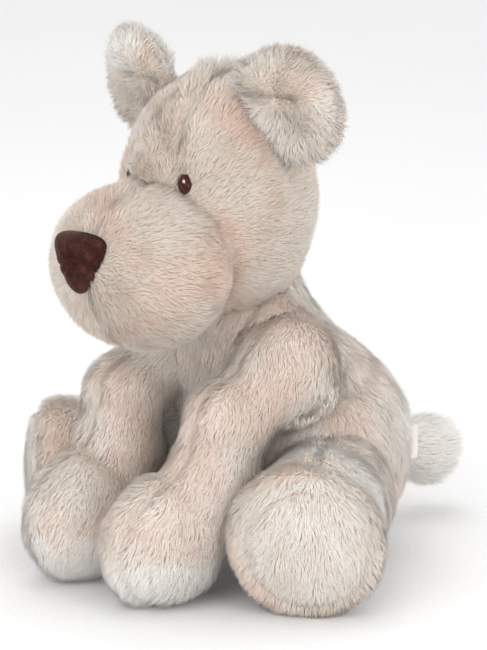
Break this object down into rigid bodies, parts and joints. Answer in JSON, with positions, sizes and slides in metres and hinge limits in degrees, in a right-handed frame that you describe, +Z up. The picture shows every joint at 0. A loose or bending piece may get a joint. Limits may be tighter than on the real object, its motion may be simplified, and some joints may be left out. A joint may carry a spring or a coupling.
{
  "type": "plush dog",
  "caption": "Sitting soft toy dog of long pale pile, with round ears, a large muzzle, a velour nose, stuffed legs and a short tail; head, ears, legs and tail bend at sewn seams.",
  "frame": {"origin": "middle of the flat seat, on the floor", "axes": "+Z up, the dog looks along -Y, its left side is +X"},
  "size_m": [0.2438, 0.2597, 0.2632],
  "materials": {
    "fur": "long faux fur, pale beige with greyer tips",
    "pale_fur": "short faux fur, cream",
    "filling": "loose polyester fibre",
    "pouch_cloth": "thin woven cloth",
    "pellets": "small plastic pellets",
    "label_tape": "satin tape, blank",
    "nose_velour": "short dark brown velour",
    "dark_thread": "dark brown embroidery thread",
    "pale_thread": "pale embroidery thread"
  },
  "bodies": {
    "torso": {"torso_back_left": "fur", "torso_back_right": "fur", "belly_cover": "fur", "seat_cover": "fur", "torso_filling": "filling", "pellet_pouch": "pouch_cloth", "pellets": "pellets", "care_label": "label_tape"},
    "neck": {"neck_ring": "fur"},
    "head": {"head_left": "fur", "head_right": "fur", "forehead_strip": "fur", "muzzle_left": "fur", "muzzle_right": "fur", "head_filling": "filling", "nose_cover": "nose_velour", "nose_padding": "filling", "eye_left": "dark_thread", "eye_right": "dark_thread", "eye_glint_left": "pale_thread", "eye_glint_right": "pale_thread"},
    "ear_left": {"ear_front_left": "fur", "ear_back_left": "fur"},
    "ear_right": {"ear_front_right": "fur", "ear_back_right": "fur"},
    "foreleg_left": {"foreleg_outer_left": "fur", "foreleg_inner_left": "fur", "paw_sole_left": "pale_fur", "foreleg_filling_left": "filling"},
    "foreleg_right": {"foreleg_outer_right": "fur", "foreleg_inner_right": "fur", "paw_sole_right": "pale_fur", "foreleg_filling_right": "filling"},
    "hindleg_left": {"hindleg_outer_left": "fur", "hindleg_inner_left": "fur", "foot_sole_left": "pale_fur", "hindleg_filling_left": "filling"},
    "hindleg_right": {"hindleg_outer_right": "fur", "hindleg_inner_right": "fur", "foot_sole_right": "pale_fur", "hindleg_filling_right": "filling"},
    "tail": {"tail_upper": "fur", "tail_lower": "fur", "tail_filling": "filling"}
  },
  "joints": [
    {"name": "neck_nod", "type": "hinge", "parent": "torso", "child": "neck", "pos_m": [0, -0.03, 0.128], "axis": [-1, 0, 0], "range_deg": [-4, 12], "stiffness_Nm_per_rad": 1},
    {"name": "head_turn", "type": "hinge", "parent": "neck", "child": "head", "pos_m": [0, -0.03, 0.128], "axis": [0, 0, 1], "range_deg": [-15, 15], "stiffness_Nm_per_rad": 0.4},
    {"name": "ear_flap_left", "type": "hinge", "parent": "head", "child": "ear_left", "pos_m": [0.04295, -0.051, 0.22497], "axis": [0.6548, 0.225, -0.7216], "range_deg": [-12, 20], "stiffness_Nm_per_rad": 0.02},
    {"name": "ear_flap_right", "type": "hinge", "parent": "head", "child": "ear_right", "pos_m": [-0.04295, -0.051, 0.22497], "axis": [0.6548, -0.225, 0.7216], "range_deg": [-12, 20], "stiffness_Nm_per_rad": 0.02},
    {"name": "foreleg_swing_left", "type": "hinge", "parent": "torso", "child": "foreleg_left", "pos_m": [0.04, -0.042, 0.106], "axis": [-1, 0, 0], "range_deg": [0, 30], "stiffness_Nm_per_rad": 0.15},
    {"name": "foreleg_swing_right", "type": "hinge", "parent": "torso", "child": "foreleg_right", "pos_m": [-0.04, -0.042, 0.106], "axis": [-1, 0, 0], "range_deg": [0, 30], "stiffness_Nm_per_rad": 0.15},
    {"name": "hindleg_spread_left", "type": "hinge", "parent": "torso", "child": "hindleg_left", "pos_m": [0.052, -0.024, 0.04], "axis": [0, 0, 1], "range_deg": [0, 20], "stiffness_Nm_per_rad": 0.15},
    {"name": "hindleg_spread_right", "type": "hinge", "parent": "torso", "child": "hindleg_right", "pos_m": [-0.052, -0.024, 0.04], "axis": [0, 0, -1], "range_deg": [0, 20], "stiffness_Nm_per_rad": 0.15},
    {"name": "tail_wag", "type": "hinge", "parent": "torso", "child": "tail", "pos_m": [0, 0.055, 0.046], "axis": [0, 0, 1], "range_deg": [-25, 25], "stiffness_Nm_per_rad": 0.03}
  ]
}
